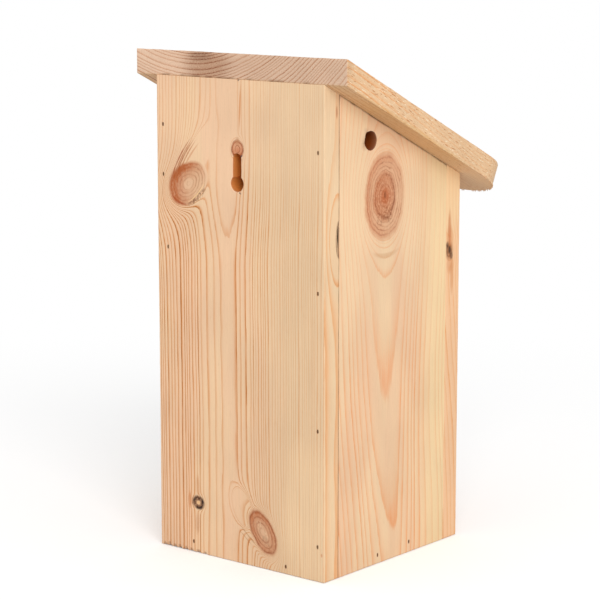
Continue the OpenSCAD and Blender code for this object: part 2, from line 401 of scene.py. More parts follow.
def drawn_rings(tree, plank, flat, place, fibre, in_knot, edge, end_grain):
    """Late wood as it shows: thinner where it is faint, broken by the fibres and calm in the knots."""
    rings = trunk_rings(tree, plank, place)
    rings = round_knots(tree, plank, place, rings)
    late, strength = late_wood(tree, plank, rings, fibre, edge)
    bold = bold_places(tree, plank.look, flat, end_grain)
    slim = add(tree, "MapRange", bold, 0.3, 0.9, 2.0, 0.8)
    late = add(tree, "POWER", late, slim)
    calm = add(tree, "MapRange", in_knot, 0.0, 1.0, BOLDEST, 0.0)
    for share in (strength, bold, calm):
        late = add(tree, "MULTIPLY", late, share)
    broken = add(tree, "MapRange", fibre, 0.3, 0.7, 0.65, 1.2)
    return add(tree, "MULTIPLY", late, broken, use_clamp=True)


def softwood(name, plank):
    """Spruce, planed or sawn: pale early wood, thin orange lines of late wood that run round the knots."""
    finish, tree = new_tree(name)
    flat, place = plank_place(tree, plank)
    edge, end_grain = facing_masks(tree, plank)
    speck = blobs(tree, flat, (1.4, 1.4, 2.2), 3.0, 0.65)
    # Fibres 0.8 mm across, coarser than real ones (0.03 mm), so that they do not shimmer.
    fibre = blobs(tree, place, (0.8, 0.8, 26), 2.0, 0.6)
    # Dashes of 0.75 by 4.4 mm, which is what resin ducts and torn fibres show.
    dash = blobs(tree, flat, (0.75, 0.75, 4.4), 1.0, 0.5, (0.0, 0.0, 3.0))
    in_knot, dyes = knot_wood(tree, plank, place, speck)
    late = drawn_rings(tree, plank, flat, place, fibre, in_knot, edge, end_grain)

    wood = wood_tone(tree, plank, flat, late, edge, end_grain)
    for mask, colour in dyes:
        wood = lay(tree, mask, wood, colour)
    wood = with_dashes(tree, plank.look, wood, dash, end_grain)
    wood = with_shade(tree, plank, flat, wood, fibre)
    wood = with_marks(tree, plank, flat, wood, fibre, late, speck)
    # Drilled wood browned, with painted shade inside the holes; then stains, dark joints and the painted
    # shade of the gap under the roof.
    for layer, colour in (("bore", plank.look.bore), ("stain", DARK_STAIN_AND_SHADE)):
        there = add(tree, "Attribute", attribute_name=layer, out=2)
        wood = lay(tree, there, wood, colour)

    # Late wood stands a little proud and is smoother; sawn wood is pitted at its dashes.
    relief = add(tree, "MULTIPLY", fibre, 0.35)
    relief = add(tree, "MULTIPLY_ADD", late, 0.35, relief)
    relief = add(tree, "MULTIPLY_ADD", dash, plank.look.sawn * 3.0, relief)
    bump = add(tree, "Bump", into={"Height": relief, "Distance": 0.0004, "Strength": 0.5})
    rough = add(tree, "MapRange", late, 0.0, 1.0, 0.68, 0.54)
    body = add(tree, "BsdfPrincipled", wood, into={"Roughness": rough, "Normal": bump, "IOR": 1.46,
                                                  "Specular IOR Level": 0.35})
    add(tree, "OutputMaterial", body)
    return finish


# ---------------------------------------------------------------- boards

def arc(u, v, radius, start, sweep, count):
    """count + 1 points along an arc, from the angle start through sweep."""
    turns = [start + sweep * k / count for k in range(count + 1)]
    return [(u + radius * math.cos(turn), v + radius * math.sin(turn)) for turn in turns]


def rounded(corners, step=OUTLINE_STEP):
    """A closed outline through corners (u, v, radius), counter-clockwise, with a point every step mm."""
    line = []
    for i, (u, v, radius) in enumerate(corners):
        here = Vector((u, v))
        before = (Vector(corners[i - 1][:2]) - here).normalized()
        after = (Vector(corners[(i + 1) % len(corners)][:2]) - here).normalized()
        half = before.angle(after) / 2.0
        centre = here + (before + after).normalized() * radius / math.sin(half)
        start = here + before * radius / math.tan(half) - centre
        sweep = math.pi - 2.0 * half
        count = max(3, math.ceil(sweep * radius / step))
        line += arc(centre.x, centre.y, radius, math.atan2(start.y, start.x), sweep, count)
    return spaced(line, step)


def spaced(line, step):
    """The same closed line with extra points, so that none of its sides is longer than step."""
    points = []
    for here, there in zip(line, line[1:] + line[:1]):
        count = max(1, math.ceil(math.dist(here, there) / step))
        for k in range(count):
            points.append(tuple(a + (b - a) * k / count for a, b in zip(here, there)))
    return points


def square_board(half, foot, top, step=OUTLINE_STEP):
    """The outline of a board with four square corners."""
    return rounded([(-half, foot, CORNER), (half, foot, CORNER), (half, top, CORNER),
                    (-half, top, CORNER)], step)


def round_hole(u, v, radius, count=56):
    """A drilled hole's edge, counter-clockwise."""
    return arc(u, v, radius, 0.0, math.tau, count)[:-1]


def keyhole_edge():
    """The hanging keyhole: a round hole with a narrower slot above it."""
    u, v, radius = KEYHOLE
    half, top = KEYHOLE_SLOT
    meet = math.acos(half / radius)
    slot = arc(u, top, half, 0.0, math.pi, 12)
    bowl = arc(u, v, radius, math.pi - meet, math.pi + 2.0 * meet, 40)
    return spaced(slot + bowl, 1.2)


def head_edge(u, v, scale=1.0):
    """The sunk head of a brad, long along the grain, with soft corners."""
    ring = []
    for k in range(HEAD_POINTS):
        turn = math.tau * (k + 0.5) / HEAD_POINTS
        c, s = math.cos(turn), math.sin(turn)
        blunt = (abs(c) ** 3 + abs(s) ** 3) ** (-1 / 3)
        ring.append((u + HEAD_ACROSS / 2 * scale * blunt * c, v + HEAD_LONG / 2 * scale * blunt * s))
    return np.array(ring)


def smooth_noise(count, reach, dice):
    """A closed run of even noise, -1 to 1, that changes over about reach points."""
    raw = dice.normal(size=count)
    kernel = np.exp(-0.5 * ((np.arange(count) - count // 2) / reach) ** 2)
    soft = np.real(np.fft.ifft(np.fft.fft(raw) * np.fft.fft(np.fft.ifftshift(kernel))))
    return np.clip(soft / max(1e-9, np.abs(soft).max()), -1.0, 1.0)


def inward(loop, side):
    """Unit normals of a closed loop, into the wood: side is 1 for an outline and -1 for a hole."""
    ahead = np.roll(loop, -1, axis=0) - np.roll(loop, 1, axis=0)
    ahead /= np.linalg.norm(ahead, axis=1)[:, None] + 1e-12
    return np.stack([-ahead[:, 1], ahead[:, 0]], axis=1) * side


def nearest(points, others):
    """Distance from each point to the nearest one of the others."""
    return np.sqrt(((points[:, None, :] - others[None, :, :]) ** 2).sum(axis=2)).min(axis=1)


def arris(loop, soft, cuts, face, dice):
    """How far each point of an edge is worn back, in mm, and how dark it is painted: torn spots, joints,
    and painted shade under the roof.
    """
    fine = smooth_noise(len(loop), 1.2, dice)
    worn = soft * (1.0 + 0.45 * fine + 0.25 * smooth_noise(len(loop), 9, dice))
    dark = np.zeros(len(loop))
    for cut in cuts:
        if cut.face != face:
            continue
        start = np.array(cut.start)
        run = np.array(cut.end) - start
        share = np.clip((loop - start) @ run / max(run @ run, 1e-9), 0.0, 1.0)
        away = np.linalg.norm(loop - start - share[:, None] * run, axis=1)
        near = np.exp(-(away / cut.reach) ** 2)
        worn += cut.size * near
        dark = np.maximum(dark, cut.dark * near * (0.9 + 0.3 * fine))
    return np.maximum(worn, LEAST_WEAR), dark


def edge_rings(loop, side, soft, cuts, dice):
    """Rings of (u, v, w, stain and painted shade) from the inner face to the outer face, with both arrises
    eased.
    """
    loop = np.array(loop)
    normal = inward(loop, side)
    low, low_dark = arris(loop, soft, cuts, "inner", dice)
    high, high_dark = arris(loop, soft, cuts, "outer", dice)
    rings = []
    for back, up in EASED:
        rings.append((loop + normal * (low * back)[:, None], low * up, low_dark))
    for height in WALL:
        rings.append((loop, np.full(len(loop), height), np.zeros(len(loop))))
    for back, up in reversed(EASED):
        rings.append((loop + normal * (high * back)[:, None], BOARD - high * up, high_dark))
    return [np.column_stack(ring) for ring in rings]


def inside(points, loop):
    """Which of the points lie inside a closed loop."""
    found = np.zeros(len(points), bool)
    box = np.all((points >= loop.min(axis=0)) & (points <= loop.max(axis=0)), axis=1)
    near = points[box]
    hits = np.zeros(len(near), bool)
    for (ax, ay), (bx, by) in zip(loop, np.roll(loop, -1, axis=0)):
        crosses = (near[:, 1] < ay) != (near[:, 1] < by)
        if crosses.any() and by != ay:
            hits ^= crosses & (near[:, 0] < (bx - ax) * (near[:, 1] - ay) / (by - ay) + ax)
    found[box] = hits
    return found


def guard(loop):
    """Points a little way in from an outline, so that the stain and painted shade at its edge stay at the
    edge.
    """
    moved = loop + inward(loop, 1) * GUARD
    return moved[nearest(moved, loop) > 0.97 * GUARD]


def loose_points(outline, gaps, fixed, step, dice):
    """Points of an uneven grid over an outline, clear of its gaps and of the fixed points."""
    low, high = outline.min(axis=0), outline.max(axis=0)
    across, along = np.meshgrid(np.arange(low[0] + step, high[0], step),
                                np.arange(low[1] + step, high[1], step))
    grid = np.column_stack([across.ravel(), along.ravel()])
    grid = grid + dice.uniform(-STRAY, STRAY, grid.shape) * step
    keep = inside(grid, outline)
    for start in range(0, len(grid), 4000):
        part = slice(start, start + 4000)
        keep[part] &= nearest(grid[part], fixed) > CLEAR * step
    for gap in gaps:
        keep &= ~inside(grid, gap)
    return grid[keep]


def fill_face(outline, gaps, soft_rings, step, dice):
    """Triangles over an outline with gaps. Gives the extra points and triangles over all the points."""
    fixed = np.vstack([outline] + gaps + soft_rings)
    extra = np.vstack(soft_rings + [loose_points(outline, gaps, fixed, step, dice)])
    points = np.vstack([outline] + gaps + [extra])
    edges, start = [], 0
    for loop in [outline] + gaps:
        edges += [(start + k, start + (k + 1) % len(loop)) for k in range(len(loop))]
        start += len(loop)
    made = delaunay_2d_cdt([Vector(p) for p in points], edges, [], 1, 1e-5)
    source = [ids[0] for ids in made[3]]
    faces = np.array([[source[i] for i in face] for face in made[2]])
    for gap in gaps:
        faces = faces[~inside(points[faces].mean(axis=1), gap)]
    return extra, faces


class Shell:
    """The points (u, v, w, stain and painted shade, drill browning and painted shade) and the faces of one
    board, added ring by ring.
    """

    def __init__(self):
        self.parts = []
        self.faces = []
        self.total = 0

    def put(self, flat, height, stain, bore=0.0):
        """Adds points, and gives the number of the first."""
        first, size = self.total, len(flat)
        columns = [np.broadcast_to(value, size) for value in (height, stain, bore)]
        self.parts.append(np.column_stack([flat] + columns))
        self.total += size
        return first

    def join(self, rings, size):
        """Adds a band of quads between each ring and the next."""
        for low, high in zip(rings, rings[1:]):
            self.faces += [(low + i, low + (i + 1) % size, high + (i + 1) % size, high + i)
                           for i in range(size)]

    def mesh(self, name, place):
        """The mesh, with the points led to their place by place(u, v, w)."""
        points = np.vstack(self.parts)
        mesh = bpy.data.meshes.new(name)
        mesh.from_pydata((place(points[:, 0], points[:, 1], points[:, 2]) / 1000.0).tolist(), [],
                         [[int(i) for i in face] for face in self.faces])
        for column, layer in ((3, "stain"), (4, "bore")):
            values = mesh.attributes.new(layer, "FLOAT", "POINT")
            values.data.foreach_set("value", points[:, column].astype(np.float32))
        return mesh


def add_wall(shell, loop, side, soft, cuts, dice):
    """The wall along an outline (side 1) or a hole (side -1). Gives its inner and its outer rim."""
    rings = edge_rings(loop, side, soft, cuts, dice)
    # Hole walls get the drill's browning and painted shade inside the hole; outlines get none.
    bores_and_shades = BORED_AND_SHADED if side < 0 else (0.0,) * len(rings)
    starts = [shell.put(ring[:, :2], ring[:, 2], ring[:, 3], bore) for ring, bore in zip(rings, bores_and_shades)]
    shell.join(starts, len(loop))
    return (rings[0][:, :2], starts[0]), (rings[-1][:, :2], starts[-1])


def add_well(shell, u, v):
    """The dark well that a brad's head was driven into. Gives its rim."""
    rings = [head_edge(u, v, scale) for scale, _, _ in WELL]
    starts = [shell.put(ring, BOARD - deep, stain) for ring, (_, deep, stain) in zip(rings, WELL)]
    shell.join(starts, HEAD_POINTS)
    shell.faces.append(tuple(range(starts[-1], starts[-1] + HEAD_POINTS)))
    return rings[0], starts[0]


def add_face(shell, rims, halos, height, step, dice):
    """A broad face at one height: from its outline, the first rim, to the rims of its gaps."""
    loops = [loop for loop, _ in rims]
    extra, made = fill_face(loops[0], loops[1:], [guard(loops[0])] + halos, step, dice)
    first = shell.put(extra, height, 0.0)
    index = [start + np.arange(len(loop)) for loop, start in rims]
    index = np.concatenate(index + [first + np.arange(len(extra))])
    shell.faces += [tuple(face) for face in index[made]]


def slab(name, outline, holes, heads, place, finish, step=(9.0, 3.0), soft=0.45, cuts=(), seed=1):
    """One board as a closed mesh: eased arrises, through holes and the sunk wells over its brads."""
    dice = np.random.default_rng(seed)
    shell = Shell()
    walls = [add_wall(shell, outline, 1, soft, cuts, dice)]
    walls += [add_wall(shell, hole, -1, soft, cuts, dice) for hole in holes]
    wells = [add_well(shell, u, v) for u, v in heads]
    halos = [head_edge(u, v, HALO) for u, v in heads]
    add_face(shell, [inner for inner, _ in walls], [], 0.0, step[0], dice)
    add_face(shell, [outer for _, outer in walls] + wells, halos, BOARD, step[1], dice)
    return whole_piece(name, shell.mesh(name, place), finish)


def whole_piece(name, mesh, finish):
    """Makes a mesh into a shaded piece whose faces all point out."""
    mesh.validate()
    work = bmesh.new()
    work.from_mesh(mesh)
    bmesh.ops.recalc_face_normals(work, faces=work.faces)
    work.to_mesh(mesh)
    work.free()
    piece = bpy.data.objects.new(name, mesh)
    bpy.context.scene.collection.objects.link(piece)
    mesh.shade_smooth()
    mesh.set_sharp_from_angle(angle=math.radians(18.0))
    if not mesh.materials:
        mesh.materials.append(finish)
    return piece


# ---------------------------------------------------------------- torn fibres

def fibre_tree(finish):
    """Torn fibres along an edge: thin splinters that differ in place, turn, length and stain."""
    tree = bpy.data.node_groups.new("torn_fibres", "GeometryNodeTree")
    tree.interface.new_socket("Fibres", in_out="OUTPUT", socket_type="NodeSocketGeometry")
    for name, kind in (("Edge", "Geometry"), ("Spacing", "Float"), ("Length", "Float"),
                       ("Thickness", "Float"), ("Share", "Float"), ("Seed", "Int")):
        tree.interface.new_socket(name, in_out="INPUT", socket_type="NodeSocket" + kind)
    edge, spacing, length, thickness, share, seed = tree.nodes.new("NodeGroupInput").outputs[:6]
    path = add(tree, "GeometryNodeMeshToCurve", edge)
    path = add(tree, "GeometryNodeResampleCurve", path, into={"Length": spacing}, mode="LENGTH")
    kept = add(tree, "FunctionNodeRandomValue", into={6: share, 8: seed}, out=3, data_type="BOOLEAN")
    aim = add(tree, "GeometryNodeInputNamedAttribute", "aim", data_type="FLOAT_VECTOR")
    sway = add(tree, "FunctionNodeRandomValue", (-0.7, -0.7, -0.7), (0.7, 0.7, 0.7), into={8: seed})
    aim = add(tree, "ShaderNodeVectorMath", aim, sway)
    turn = add(tree, "FunctionNodeAlignEulerToVector", into={"Vector": aim}, axis="Z")
    size = add(tree, "FunctionNodeRandomValue", (0.6, 0.6, 0.25), (1.3, 1.3, 1.0), into={8: seed})
    splinter = add(tree, "GeometryNodeMeshCone", 4, 1, 1, 0.0, thickness, length)
    fibres = add(tree, "GeometryNodeInstanceOnPoints", path, kept, splinter,
                 into={"Rotation": turn, "Scale": size})
    stain = add(tree, "FunctionNodeRandomValue", None, None, 0.0, 0.35, into={8: seed}, out=1)
    fibres = add(tree, "GeometryNodeStoreNamedAttribute", fibres, into={"Name": "stain", "Value": stain},
                 domain="INSTANCE", data_type="FLOAT")
    fibres = add(tree, "GeometryNodeRealizeInstances", fibres)
    fibres = add(tree, "GeometryNodeSetMaterial", fibres, into={"Material": finish})
    add(tree, "NodeGroupOutput", fibres)
    return tree


def torn_fibres(name, path, aims, finish, **sizes):
    """Runs the fibre tree along a path, and gives its result as a plain piece."""
    guide_mesh = bpy.data.meshes.new(name + "_path")
    guide_mesh.from_pydata(path.tolist(), [(k, k + 1) for k in range(len(path) - 1)], [])
    aim = guide_mesh.attributes.new("aim", "FLOAT_VECTOR", "POINT")
    aim.data.foreach_set("vector", aims.astype(np.float32).ravel())
    guide = bpy.data.objects.new(name + "_path", guide_mesh)
    bpy.context.scene.collection.objects.link(guide)
    maker = guide.modifiers.new("fibres", "NODES")
    maker.node_group = fibre_tree(finish)
    for item in maker.node_group.interface.items_tree:
        if item.in_out == "INPUT" and item.name in sizes:
            maker[item.identifier] = sizes[item.name]
    graph = bpy.context.evaluated_depsgraph_get()
    mesh = bpy.data.meshes.new_from_object(guide.evaluated_get(graph), preserve_all_data_layers=True,
                                           depsgraph=graph)
    guide.modifiers.clear()
    bpy.data.objects.remove(guide)
    return whole_piece(name, mesh, finish)


def fray_roof(lid, finish):
    """Fibres that the saw left hanging under the roof's front end."""
    loop = np.array(lid)
    first = int(np.argmax(loop[:, 1] > -BOARD))
    loop = np.roll(loop, -first, axis=0)
    out = -inward(loop, 1)
    front = loop[:, 1] < ROOF_CORNER - ROOF_LENGTH
    loop, out = loop[front], out[front]
    # They start 0.3 mm up the edge and point 1.3 mm down and 0.6 mm out.
    path = on_roof(loop[:, 0], loop[:, 1], np.full(len(loop), 0.3)) / 1000.0
    tips = loop + 0.6 * out
    tips = on_roof(tips[:, 0], tips[:, 1], np.full(len(loop), -1.0)) / 1000.0
    aims = (tips - path) / np.linalg.norm(tips - path, axis=1)[:, None]
    fibres = torn_fibres("roof_fibres", path, aims, finish, Spacing=0.0016, Length=0.0013,
                         Thickness=0.0006, Share=0.6, Seed=4)
    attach(fibres, "root")


# ---------------------------------------------------------------- places on the box

# Each takes u across the board, v along it and w out from its inner face, and gives x, y, z in mm.

def near_top(v, top, depth=12.0):
    """0 below the last depth mm of a board and 1 at its end, where the slanted end is."""
    return np.clip((v - (top - depth)) / depth, 0.0, 1.0)


def on_back(u, v, w):
    """On the back board, whose upper end slants under the roof."""
    lean = -(BOARD - w) * SLOPE * near_top(v, BACK_HEIGHT)
    return np.column_stack([u, HALF_DEPTH + w, v + lean])


def on_front(u, v, w):
    """On the front board, whose upper end slants too."""
    lean = (BOARD - w) * SLOPE * near_top(v, FRONT_HEIGHT)
    return np.column_stack([u, -HALF_DEPTH - w, v + lean])


def on_left(u, v, w):
    """On the left side board, where u runs from the front to the back."""
    return np.column_stack([-(HALF_WIDTH - BOARD) - w, u, v])


def on_right(u, v, w):
    """On the right side board."""
    return np.column_stack([HALF_WIDTH - BOARD + w, u, v])


def on_floor(u, v, w):
    """On the floor, whose underside is its outer face."""
    return np.column_stack([u, v, BOARD - w])


def on_roof(u, v, w):
    """On the roof, where v runs up the slope and is 0 at the back, whose end is cut upright."""
    v = v + w * SLOPE * near_top(v, 0.0)
    return np.column_stack([u, BACK_FACE + v * math.cos(PITCH) - w * math.sin(PITCH),
                            BACK_HEIGHT + v * math.sin(PITCH) + w * math.cos(PITCH)])


def side_top(y):
    """Height of a side board's slanted end, just under the roof."""
    return BACK_HEIGHT - SLOPE * (BACK_FACE - y)


def side_outline():
    """A side board: square at the foot, slanted under the roof."""
    return rounded([(-HALF_DEPTH, 0.0, CORNER), (HALF_DEPTH, 0.0, CORNER),
                    (HALF_DEPTH, side_top(HALF_DEPTH), CORNER),
                    (-HALF_DEPTH, side_top(-HALF_DEPTH), CORNER)])


def heads_of(face, *axes):
    """Where brads sit on one face of the box: the middle of each brad's box on two axes, in mm."""
    found = []
    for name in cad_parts:
        if name.startswith("brad_" + face + "_"):
            low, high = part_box(name)
            found.append(tuple((low[i] + high[i]) / 2 * 1000.0 for i in axes))
    return found


def roof_heads():
    """Where the roof's brads meet its top face, in the roof's own plan."""
    found = []
    for x, y, z in heads_of("roof", 0, 1, 2):
        found.append((x, (y - BACK_FACE) * math.cos(PITCH) + (z - BACK_HEIGHT) * math.sin(PITCH)))
    return found


# ---------------------------------------------------------------- the planks' own grain

# The late wood's share through one year: sharp on the planed and sawn faces, softer on the sides.
CRISP = ((0.0, (0.2,)), (0.06, (0.0,)), (0.42, (0.04,)), (0.66, (0.26,)), (0.82, (0.8,)), (0.92, (1.0,)),
         (0.985, (0.95,)), (1.0, (0.2,)))
SOFT = ((0.0, (0.1,)), (0.08, (0.0,)), (0.4, (0.1,)), (0.65, (0.32,)), (0.85, (0.72,)), (0.94, (0.95,)),
        (1.0, (0.1,)))

# Each look's drilled-wood colour paints a hole's wall darker: the drill's browning and painted shade
# inside the hole.
# Planed spruce: cream and rose early wood with fine orange-brown lines; strongest far from the sides.
PLANED = Look(pale="#EBC8A2", blush="#EAC3A0", straw="#E0C29D", late="#CC7A32", deep="#A86420",
              bore="#D07E36", year=CRISP,
              bold=((-80, 1.5), (-79, 0.62), (-31, 0.6), (-25, 0.95), (-5, 0.85), (3, 0.8),
                    (8, 0.45), (30, 0.6), (42, 1.1), (52, 1.22), (80, 1.05)),
              tall=(262, 315, 1, 0.5), straw_side=(5, -45), sawn=0.08)
# The front board's wood, seen as a yellow strip at its edge: the same with a warmer straw side.
EDGED = PLANED._replace(straw="#EFC298", bold=((-80, 0.75), (80, 0.9)), tall=(0, 1, 1, 1))
# The sides: lighter and yellower, with soft salmon lines that fade to straw towards the front.
SIDE = Look(pale="#EBCBA5", blush="#E8C29E", straw="#EFD2A4", late="#E4965F", deep="#D98448",
            # The air hole's wall is painted dark brown: browned by the drill, and painted shade inside the
            # hole.
            bore="#823A02", year=SOFT,
            bold=((-65, 0.6), (-45, 0.6), (-35, 1.1), (-8, 1.1), (12, 0.9), (65, 1)),
            tall=(150, 215, 1, 0.6), straw_side=(-25, -50), sawn=0.06)
# Rough-sawn spruce of the roof: matt, browner, full of dark resin dashes and pale torn fibres.
SAWN = Look(pale="#E8C29A", blush="#E0B78D", straw="#E4C098", late="#B97A52", deep="#955630",
            bore="#C9742A", year=CRISP, bold=((-100, 0.9), (-97, 0.8), (100, 0.8)),
            tall=(-120, -25, 0.6, 1.1), straw_side=(0, -100), sawn=0.85)

BACK_BENDS = (
    Bend((40, 74, 303), (9, 200, 27), -33, 33, 3),
    Bend((49.5, 74, 281), (20, 200, 14), 35, 33, 4),
    Bend((1.1, 74, 309.7), (6, 200, 8), 0, 27.3, 8),
    Bend((41.9, 74, 39.2), (6.2, 200, 5.4), 0, 51.8, 6),
    Bend((-2, 74, 43), (8.5, 200, 14.5), 22, 24.9, 5),
    Bend((-22, 74, 27.5), (10.8, 200, 19), 34, 33.2, 8),
    Bend((-80, 67.3, 249), (4, 8, 27), 0, 120.6, 2),
)
BACK_KNOTS = (
    # The big one, the small one over the keyhole, the black dead one, the low oval one.
    Knot(at=(49.5, 74, 281), size=(19.5, 60, 14), turn=36, fill=HOLLOW, dusk=(0.5, 0, 0.65),
         veins=0.5, turns=6.2, rim=-0.05, ring_at=0.98, band=0.1, bark=(0.1, 0, -0.45), heart=0.35,
         dye=PALE_HEART),
    Knot(at=(1.1, 74, 309.7), size=(5.8, 60, 6.6), fill=FULL, dusk=(0, 0, -0.3), veins=0.9,
         turns=2.5, rim=0.6, ring_at=0.95, band=0.2, bark=(0, 0, -0.3), heart=0.3, dye=LIVE),
    Knot(at=(41.9, 74, 39.2), size=(5.6, 60, 4.8), turn=-8, fill=CHARRED, veins=0.5, turns=2.4,
         rim=3.2, ring_at=0.8, band=0.55, heart=1, dye=DEAD),
    Knot(at=(-22, 74, 27.5), size=(10.3, 60, 18), turn=34, fill=RUSTY, dusk=(0, 0, 0.15),
         veins=0.75, turns=4.3, rim=0.4, ring_at=0.93, band=0.13, heart=0.5, dye=PALE_HEART),
    # Brown wood round the bark hollow in the near edge.
    Knot(at=(-80, 65.8, 249.5), size=(10, 3.4, 13), fill=FULL, veins=0.7, turns=2, rim=0.6,
         ring_at=0.9, band=0.2, heart=0.4, dye=BURNT),
)
BACK_MARKS = (
    # A paler foot, which is painted light where more light falls, and a paler edge.
    # Painted light: the foot is brightened where the light falls more strongly.
    Mark((-64, 82, 40), (24, 20, 60), "#F8D8AE", 0.4),
    Mark((-80, 74, 180), (2, 16, 260), "#F8DFB8", 0.3),
    # Blue-black ink ticks where the board was laid out.
    Mark((-0.4, 82, 359.4), (0.9, 20, 0.7), "#1B2036", 1, turn=30),
    Mark((-3.1, 82, 304.9), (1.1, 20, 0.7), "#1B2036", 1, turn=35),
    Mark((-1.5, 82, 277.7), (1.2, 20, 0.6), "#1B2036", 1, turn=-35),
    # A crack under the roof and two scratches at the oval knot.
    Mark((-1.6, 82, 340), (0.9, 20, 17), "#C9762F", 0.7, turn=-3),
    Mark((-8, 82, 22.5), (10.5, 20, 0.6), "#9A6C44", 0.6, turn=-40),
    Mark((-5.5, 82, 20.5), (8, 20, 0.5), "#9A6C44", 0.5, turn=-38),
    # Resin round the dead knot.
    Mark((41.9, 82, 51.5), (2.8, 20, 9), "#B4601C", 0.9, turn=4, grain=0.7),
    Mark((42.5, 82, 23.5), (2.8, 20, 9), "#A85618", 0.9, turn=-4, grain=0.7),
    Mark((50, 82, 40), (2.2, 20, 7), "#C4702C", 0.6),
    # Dark flames and arched lines over and under the big knot, and its sooty lower edge.
    Mark((60, 82, 288.8), (12.5, 20, 3.6), "#A8531F", 0.8, turn=39, bend=0.6),
    Mark((57.9, 82, 299.6), (20, 20, 0.7), "#A04A1C", 0.9, turn=58, bend=2.9),
    Mark((55.4, 82, 300.2), (17, 20, 0.6), "#A6521F", 0.8, turn=58, bend=2.4),
    Mark((53, 82, 301.6), (15, 20, 0.7), "#9A4E20", 0.85, turn=57, bend=1.8),
    Mark((50, 82, 302.2), (14, 20, 0.6), "#AC5A26", 0.8, turn=56, bend=1.4),
    Mark((46.6, 82, 302.4), (12, 20, 0.8), "#C07040", 0.6, turn=52, bend=1),
    Mark((58.5, 82, 266.6), (9, 20, 0.9), "#A4481C", 0.85, turn=-24, bend=-2.2),
    Mark((39.4, 82, 271.6), (12, 20, 2.3), "#7A5436", 0.9, turn=40.5, bend=-0.5, speck=1),
    Mark((40.6, 82, 273.6), (12.5, 20, 0.6), "#F7CF98", 0.8, turn=43, bend=-2.6),
    # The small knot's fill, the oval knot's pale middle and dark side, and two small stains.
    Mark((0.8, 82, 315), (2.2, 20, 3.4), "#B98058", 0.7),
    Mark((-22, 82, 28), (3.6, 20, 12), "#EBCBA6", 0.7, turn=34, speck=1),
    Mark((-24.5, 82, 22), (3, 20, 9), "#7E4422", 0.5, turn=34, speck=1),
    Mark((-77.9, 82, 20.4), (0.8, 20, 1.6), "#C46A34", 0.8),
    Mark((-80, 68.5, 340), (20, 1, 5), "#A2552B", 0.8),
)
BACK = Plank(turn=UPRIGHT, pith=(0, 360, 11, 12.5), lift=(222, 290, 49, 53.5),
             crowd=((2, -80, 33.6), (12.5, 80, 11)), ring=2.95, phase=0.91, bends=BACK_BENDS,
             knots=BACK_KNOTS, marks=BACK_MARKS, look=PLANED, seed=3)

LEFT_BENDS = (Bend((12.3, 72, 275), (22.5, 200, 30.5), 0, 18, 3),)
LEFT_KNOTS = (
    Knot(at=(12.3, 72, 275), size=(22.5, 60, 30.5), fill=NESTED, dusk=(0.25, 0, 0), veins=0.6,
         turns=9.5, rim=0.4, ring_at=0.52, band=0.1, bark=(-0.3, 0, -0.35), heart=0.85, dye=LIVE),
)
LEFT_MARKS = (
    # The arch under the knot, its dark eye, and smoky specks round its middle.
    Mark((10.5, 80, 231.3), (16, 20, 2.2), "#B98454", 0.55, bend=-1.6, grain=0.3),
    Mark((11.8, 80, 276), (1.6, 20, 3), "#7A3A16", 0.8),
    Mark((12.3, 80, 273), (10, 20, 16), "#8A481C", 0.35, speck=1),
    Mark((7, 80, 261), (4, 20, 7), "#7A4420", 0.55, turn=20, speck=1),
    Mark((18, 80, 257.5), (4.5, 20, 3.5), "#7A4420", 0.45, turn=-20, speck=1),
    # Redder late wood at the tips of the two long arches.
    Mark((2, 80, 40), (14, 20, 30), "#E39A66", 0.7, grain=1),
    Mark((10, 80, 138), (13, 20, 27), "#E08E62", 0.6, grain=1),
)
LEFT = Plank(turn=EDGEWISE, pith=(-25, 155, -1.5, 10), lift=(-120, 280, 29, 42),
             crowd=((-6, -36, 8), (-40, -65, -4), (25, 45, 2)), ring=4.2, phase=0.07,
             bends=LEFT_BENDS, knots=LEFT_KNOTS, marks=LEFT_MARKS, look=SIDE, seed=11)

FRONT_BENDS = (Bend((-80, -70, 225.8), (16, 3.8, 7), 0, 110, 2.6),)
FRONT_KNOTS = (
    Knot(at=(-80, -69, 225.8), size=(14, 4.6, 7), fill=SMOULDER, veins=0.6, turns=1.5, rim=0.1,
         ring_at=0.8, band=0.3, heart=0.2, dye=BURNT),
)
FRONT_MARKS = (
    # A pale stretch under the roof, and brown flames above and below the edge knot.
    Mark((-80, -72, 275), (20, 14, 42), "#F6D6A6", 0.75),
    Mark((-80, -69.5, 234), (20, 4.6, 11), "#CE7C3C", 0.6),
    Mark((-80, -69.2, 243), (20, 2.2, 15), "#BE6428", 0.65),
    Mark((-80, -70, 216), (20, 4.6, 9), "#CC8046", 0.55),
    Mark((-80, -72.5, 206), (20, 2.2, 15), "#CC7A34", 0.6),
    # The knot's black bark, in three pieces.
    Mark((-80, -66.5, 229.8), (20, 2.2, 3), "#1E1008", 1, speck=0.35),
    Mark((-80, -69.2, 226.2), (20, 2.4, 3.6), "#160C06", 1),
    Mark((-80, -71.6, 221.6), (20, 2.2, 3.4), "#1E1008", 1, speck=0.35),
)
FRONT = Plank(turn=UPRIGHT, pith=(0, 280, 14, 22), lift=(0, 290, -28, -20),
              crowd=((-40, -80, 4),), ring=2.6, bends=FRONT_BENDS, knots=FRONT_KNOTS,
              marks=FRONT_MARKS, look=EDGED, seed=23)

# The far side and the floor are clear wood.
RIGHT = Plank(turn=EDGEWISE, pith=(0, 330, -18, -9), lift=(0, 330, -44, -54),
              crowd=((30, 65, 6),), ring=3.4, look=SIDE, seed=31)
FLOOR = Plank(turn=(0, math.radians(90), 0), pith=(-63, 63, 16, 24),
              lift=(-63, 63, 40, 44), crowd=((40, 60, 4),), ring=3.3, look=PLANED,
              seed=41)

